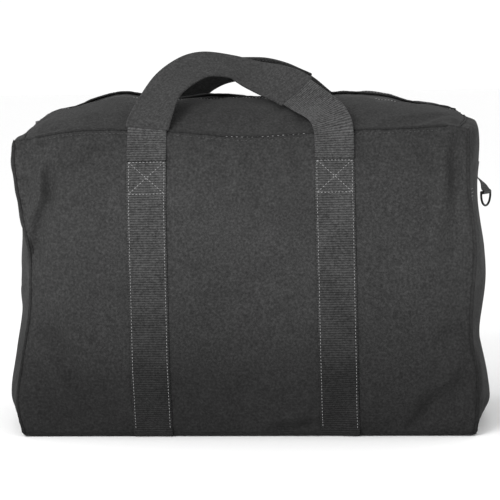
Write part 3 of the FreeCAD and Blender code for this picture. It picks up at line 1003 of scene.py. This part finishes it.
EDGE = 0.0030 / WEBBING * COLS  # column of the stitches beside the edge of the webbing
FAR_EDGE = COLS - EDGE
BOX_TOP, BOX_LOW = 0.35, (RUN_TOP - BOX_BOTTOM) / STEP  # rows of the boxed cross
THREAD_LIFT = 0.00125  # from the middle of the strap to the middle of a stitch
for word, rows in run_rows.items():
    for face, strip, lift in (("front", rows, THREAD_LIFT), ("back", rows[::-1], -THREAD_LIFT)):
        lines = [strap_line(strip, 0.2, FACE_ROWS - 1, column, lift) for column in (EDGE, FAR_EDGE)]
        box = [
            slant(strip, BOX_TOP, EDGE, BOX_TOP, FAR_EDGE, lift),
            slant(strip, BOX_LOW, EDGE, BOX_LOW, FAR_EDGE, lift),
            slant(strip, BOX_TOP, EDGE, BOX_LOW, FAR_EDGE, lift),
            slant(strip, BOX_TOP, FAR_EDGE, BOX_LOW, EDGE, lift),
        ]
        edges = stitching(f"{face}_{word}_edge_stitching", lines, radius=0.00036)
        dress(edges, thread, "shell", "webbing")
        crossed = stitching(f"{face}_{word}_box_stitching", box, radius=0.00040)
        dress(crossed, thread, "shell", "webbing")

GRIP_EDGE = 0.7  # column of the stitches beside the edge of a grip's sleeve
for word, side in SIDES:
    rows = grip_rows[word]
    lift = -side * 0.0021
    lines = [strap_line(rows, 1, len(rows) - 2, column, lift) for column in (GRIP_EDGE, COLS - GRIP_EDGE)]
    for row in (1.6, len(rows) - 2.6):
        lines.append(slant(rows, row, GRIP_EDGE, row, COLS - GRIP_EDGE, lift))
    seam = dress(stitching(word + "_grip_stitching", lines), dark_thread, None, "canvas")
    along_handle(seam)


def drawn_on(line, way, lift):
    """The line laid on the canvas as seen from one side."""
    hits = [cast(p - way * 0.2, way) for p in line]
    return [hit - way * lift for hit in hits if hit is not None]


for word, side in SIDES:
    way = Vector((0, -side, 0))
    line = smoothed(seam_lines[word + "_top_seam"])[2:-2]
    line = drawn_on([p + Vector((0, 0, -0.0055)) for p in line], way, 0.0003)
    seam = stitching(word + "_top_stitching", [line], length=0.0034, gap=0.0022)
    dress(seam, dark_thread, "shell", "canvas")
    # the seam was mended once between the handles, in paler thread
    mend = [p + Vector((0, 0, 0.0044)) for p in line if -0.022 < -side * p.x < 0.087]
    mend = drawn_on(mend, way, 0.0006)
    seam = stitching(word + "_mended_stitching", [mend], length=0.0032, gap=0.0034, radius=0.0004)
    dress(seam, thread, "shell", "canvas")

# a bar tack across the end seam, level with the ring
tacks = []
for n in range(4):
    z = 0.317 - n * 0.0045
    row = [Vector((0.2895 + m * 0.0008, -HALF_DEPTH, z + m * 0.0002)) for m in range(12)]
    row = drawn_on(row, Vector((0, 1, 0)), 0.0003)
    tacks.append([p for p in row if p.y < -0.130])
tack = stitching("end_bar_tack", tacks, length=0.0022, gap=0.0009, radius=0.0004)
dress(tack, thread, "shell", "canvas")


# ---- zip ----
DOWN = Vector((0, 0, -1))
TAPE = 0.0008
TAPE_INNER = 0.0048  # edge of the tape beside the teeth
TAPE_LEVEL = 0.0092  # the tape is level up to here, to clear the slider
LIVE_ZIP = 0.2584  # half the length of zip that opens
END_ZIP = (0.2589, 0.2899)  # where the sewn-down ends begin and stop


def roof_height(x, y):
    hit = cast(Vector((x, y, 0.6)), DOWN)
    return hit.z if hit is not None else zip_height(x)


def hem_line(side, half, inset=0.0):
    """Points along the folded edge beside the zip, half to each side of the middle."""
    y = side * (HEM + inset)
    places = [half * (n / 60 - 1) for n in range(121)]
    return [Vector((x, y, roof_height(x, y + side * 0.0004))) for x in places]


def tape_rows(side, first, last, outer, under):
    """Rows of zip tape between two places along the zip, from its teeth out to under the hem."""
    rows = []
    for n in range(61):
        x = first + (last - first) * n / 60
        row = []
        low = roof_height(x, side * outer) - under
        for m in range(7):
            y = TAPE_INNER + (outer - TAPE_INNER) * m / 6
            t = max(0.0, (y - TAPE_LEVEL) / (outer - TAPE_LEVEL))
            row.append(Vector((x, side * y, zip_height(x) * (1 - t) + low * t)))
        rows.append(row)
    return rows


for word, side in SIDES:
    tape = ribbon(word + "_tape", tape_rows(side, -LIVE_ZIP, LIVE_ZIP, 0.0172, 0.0024), TAPE, 0)
    dress(tape, zip_tape, word + "_flap", "zip_tape", word + "_zip_tape")
    hem = dress(welt(word + "_hem", hem_line(side, 0.276), 0.0013), facing, None, "canvas")
    fold_blend(hem, side)
    line = drawn_on(hem_line(side, 0.274, 0.0042), DOWN, 0.0003)
    row = dress(stitching(word + "_hem_stitching", [line], radius=0.00036), thread, None, "canvas")
    fold_blend(row, side)
for word, side in (("left", -1), ("right", 1)):
    first, last = sorted(side * x for x in END_ZIP)
    for face, across in SIDES:
        tape = ribbon(f"{word}_{face}_tape_end", tape_rows(across, first, last, 0.0116, 0.0012), TAPE, 0)
        dress(tape, zip_tape, "shell", "zip_end", word + "_zip_end")

METAL = {
    zip_metal: (
        "zip_teeth_front", "zip_teeth_back", "left_end_teeth", "right_end_teeth",
        "zip_slider", "zip_pull", "zip_top_stops", "zip_bottom_stop",
    ),
    ring_metal: ("left_d_ring", "right_d_ring"),
}
for metal, names in METAL.items():
    for name in names:
        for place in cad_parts[name].material_slots:
            place.material = metal


# ---- ring tabs ----
RING_HEIGHT = 0.305  # of the rings' bars
TAB_HALF = 0.0124  # half its width
TAB_TOP, TAB_SEWN = 0.347, 0.325  # it is sewn on the end from here down to here


def ring_tab(word, side, bar_x, twist):
    """Webbing sewn on the end, which hangs off it, twists a little and folds round the ring's bar."""
    twist = math.radians(twist)
    bar = Vector((bar_x, 0, RING_HEIGHT))
    along = side * Vector((math.sin(twist), math.cos(twist), 0))
    out = side * Vector((math.cos(twist), -math.sin(twist), 0))
    level = Vector((0, side, 0))
    places = [TAB_HALF * (m / 3 - 1) for m in range(7)]
    inwards = Vector((-side, 0, 0))
    rows = []
    for n in range(9):
        z = TAB_TOP + (TAB_SEWN - TAB_TOP) * n / 8
        rows.append([cast(Vector((side * 0.5, side * u, z)), inwards) - inwards * 0.0013 for u in places])
    foot = rows[-1][3]
    round_bar = 0.0026
    landing = bar + Vector((0, 0, round_bar)) - out * 0.0004
    for n in range(1, 8):
        t = n / 7
        ease = t * t * (3 - 2 * t)
        lie = level.lerp(along, ease).normalized()
        sag = Vector((side * 0.0018, 0, 0)) * math.sin(math.pi * t)
        middle = foot.lerp(landing, t) + sag
        rows.append([middle + lie * u for u in places])
    for n in range(1, 11):
        a = math.pi / 2 - n / 10 * math.radians(285)
        middle = bar + out * (math.cos(a) * round_bar) + Vector((0, 0, math.sin(a) * round_bar))
        rows.append([middle + along * u for u in places])
    tab = ribbon(word + "_tab", rows, 0.0015)
    dress(tab, webbing, "shell", "webbing", word + "_ring_tab")
    tacks = []
    for row in (0.8, 1.15, 6.4, 6.75, 13.2, 13.55):
        tacks.append([on_ribbon(rows, row, 0.4 + 5.2 * n / 8, -0.0009) for n in range(9)])
    tack = stitching(word + "_tab_stitching", tacks, length=0.0022, gap=0.0008)
    dress(tack, thread, "shell", "webbing")


ring_tab("right", 1, 0.321355, 28)
ring_tab("left", -1, -0.314407, 0)


# ---- bound seams inside ----
def add_roll(bm, line, inwards):
    """Adds a flattened roll of bias tape, a little inside the seam that line follows."""
    roll = welt("roll", resampled([p + inwards for p in line], 0.006), 0.0024, 0.6)
    bm.from_mesh(roll.data)
    bpy.data.objects.remove(roll)


for word, side in SIDES:
    bm = bmesh.new()
    for name, way in (("_left_seam", 1), ("_right_seam", -1)):
        line = [p for p in smoothed(seam_lines[word + name]) if 0.006 < p.z < 0.36]
        line.sort(key=lambda p: p.z)
        add_roll(bm, line, Vector((way * 0.0036, -side * 0.0036, 0)))
    line = [p for p in smoothed(seam_lines[word + "_bottom_seam"]) if abs(p.x) < 0.284]
    add_roll(bm, line, Vector((0, -side * 0.0040, 0.0040)))
    dress(new_object(word + "_binding", bm), binding, "shell", "binding", word + "_seam_binding")

bpy.data.objects.remove(shell)


# ---- floor, light and camera ----
def flat_white(name):
    """Seamless white studio paper."""
    made, tree, shader = new_material(name)
    place = node(tree, "ShaderNodeTexCoord").outputs["Object"]
    grain = node(tree, "ShaderNodeTexNoise", Vector=place, Scale=900.0).outputs["Fac"]
    tree.links.new(ramp(tree, grain, [(0.0, "f4f4f4"), (1.0, "fafafa")]), shader.inputs["Base Color"])
    finish(shader, Roughness=0.95, Specular_IOR_Level=0.1)
    return made


floor_mesh = bmesh.new()
bmesh.ops.create_grid(floor_mesh, x_segments=1, y_segments=1, size=30)
floor = new_object("floor", floor_mesh)
floor.data.materials.append(flat_white("white studio paper"))
floor.location.z = -0.0002

world = bpy.data.worlds.new("studio")
scene.world = world
world.use_nodes = True
finish(world.node_tree.nodes["Background"], Color=(1, 1, 1, 1), Strength=1.06)


def softbox(name, place, aim, width, power):
    lamp = bpy.data.lights.new(name, "AREA")
    lamp.shape = "SQUARE"
    lamp.size = width
    lamp.energy = power
    made = bpy.data.objects.new(name, lamp)
    made.location = place
    made.rotation_euler = (Vector(aim) - Vector(place)).to_track_quat("-Z", "Y").to_euler()
    scene.collection.objects.link(made)


softbox("key", (-0.9, -2.1, 1.5), (0, 0, 0.30), 1.1, 48)

camera_data = bpy.data.cameras.new("camera")
camera_data.lens = 129.4
camera_data.sensor_width = 36.0
camera = bpy.data.objects.new("camera", camera_data)
camera.location = (0.160, -2.445, 0.480)
aim = Vector((0.010, -0.150, 0.2435))
camera.rotation_euler = (aim - camera.location).to_track_quat("-Z", "Y").to_euler()
camera.rotation_euler.rotate_axis("Z", -0.015)
scene.collection.objects.link(camera)
scene.camera = camera
scene.view_settings.view_transform = "Standard"
